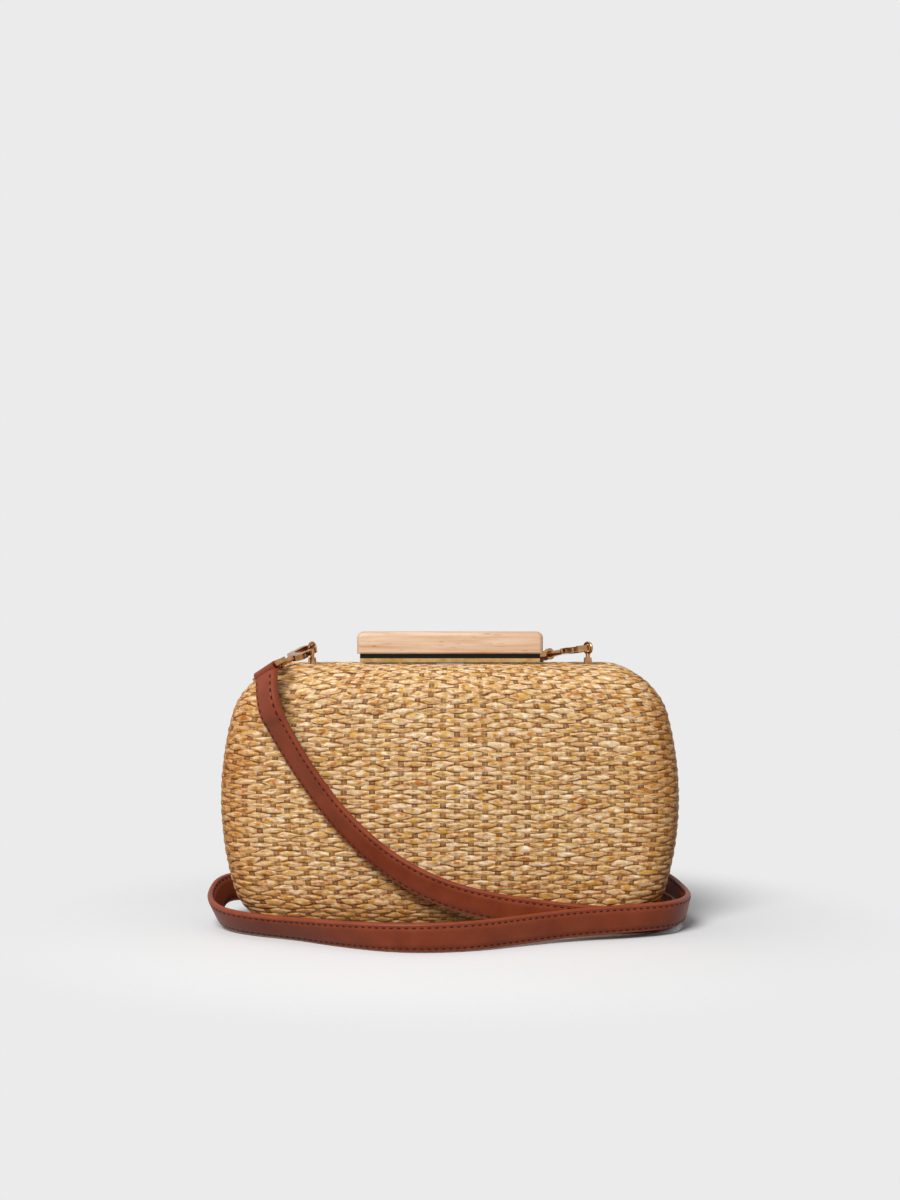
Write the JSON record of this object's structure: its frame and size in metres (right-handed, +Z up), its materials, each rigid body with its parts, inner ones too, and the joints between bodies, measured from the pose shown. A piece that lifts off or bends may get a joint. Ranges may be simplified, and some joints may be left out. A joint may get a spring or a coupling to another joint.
{
  "type": "clutch bag",
  "caption": "Hard-shell clutch bag in woven raffia with a wooden clasp bar that rocks to open the case, and a leather shoulder strap on trigger hooks.",
  "frame": {"origin": "middle of the case's footprint, on the surface it stands on", "axes": "+X along the case's width to the right seen from the front, -Y out of the front, +Z up"},
  "size_m": [0.2104, 0.1124, 0.13],
  "materials": {
    "raffia": "plain-woven natural raffia, straw to orange-tan",
    "board": "moulded board",
    "lining": "matt woven lining",
    "frame_metal": "pale gold anodised",
    "steel": "plain steel",
    "gold_metal": "polished pale gold",
    "wood": "smooth pale beech",
    "leather": "smooth red-brown leather with stitched edges"
  },
  "bodies": {
    "front_case": {"front_raffia_cover": "raffia", "front_board_shell": "board", "front_lining": "lining", "front_rim_frame": "frame_metal", "front_hinge_leaf": "steel", "hinge_pin": "steel", "left_eye_stud": "gold_metal", "right_eye_stud": "gold_metal", "clasp_bracket": "steel", "clasp_spring": "steel", "clasp_pivot_pin_left": "steel", "clasp_pivot_pin_right": "steel", "shoulder_strap": "leather", "left_hook_body": "gold_metal", "left_trigger_pin": "gold_metal", "left_trigger_spring": "steel", "right_hook_body": "gold_metal", "right_trigger_pin": "gold_metal", "right_trigger_spring": "steel"},
    "back_case": {"back_raffia_cover": "raffia", "back_board_shell": "board", "back_lining": "lining", "back_rim_frame": "frame_metal", "back_hinge_leaf": "steel", "catch_leaf": "steel"},
    "clasp_bar": {"clasp_base": "gold_metal", "clasp_wood_bar": "wood", "clasp_screw_left": "steel", "clasp_screw_right": "steel"},
    "left_trigger": {"left_hook_trigger": "gold_metal"},
    "right_trigger": {"right_hook_trigger": "gold_metal"},
    "left_swivel": {"left_swivel_ring": "gold_metal"},
    "right_swivel": {"right_swivel_ring": "gold_metal"}
  },
  "joints": [
    {"name": "case_hinge", "type": "hinge", "parent": "front_case", "child": "back_case", "pos_m": [0, 0, 0.00135], "axis": [-1, 0, 0], "range_deg": [0, 80], "deforming": ["shoulder_strap", "catch_leaf"]},
    {"name": "clasp_rock", "type": "hinge", "parent": "front_case", "child": "clasp_bar", "pos_m": [0, -0.00155, 0.1179], "axis": [1, 0, 0], "range_deg": [0, 8], "stiffness_Nm_per_rad": 0.35, "springref_deg": -2.86, "deforming": ["clasp_spring"]},
    {"name": "left_trigger_hinge", "type": "hinge", "parent": "front_case", "child": "left_trigger", "pos_m": [-0.06355, -0.01168, 0.12016], "axis": [-0.1347, -0.2183, 0.9665], "range_deg": [0, 20], "stiffness_Nm_per_rad": 0.02, "springref_deg": -5.73, "deforming": ["left_trigger_spring"]},
    {"name": "left_swivel_turn", "type": "hinge", "parent": "front_case", "child": "left_swivel", "pos_m": [-0.07389, -0.02244, 0.11628], "axis": [-0.5075, -0.8226, -0.2565], "range_deg": [-10, 10], "deforming": ["shoulder_strap"]},
    {"name": "right_trigger_hinge", "type": "hinge", "parent": "front_case", "child": "right_trigger", "pos_m": [0.05204, 0.00425, 0.12138], "axis": [-0.0884, 0.1056, 0.9905], "range_deg": [0, 20], "stiffness_Nm_per_rad": 0.02, "springref_deg": -5.73, "deforming": ["right_trigger_spring"]},
    {"name": "right_swivel_turn", "type": "hinge", "parent": "front_case", "child": "right_swivel", "pos_m": [0.04485, 0.01774, 0.1193], "axis": [-0.6358, 0.7594, -0.1378], "range_deg": [-10, 10], "deforming": ["shoulder_strap"]}
  ]
}
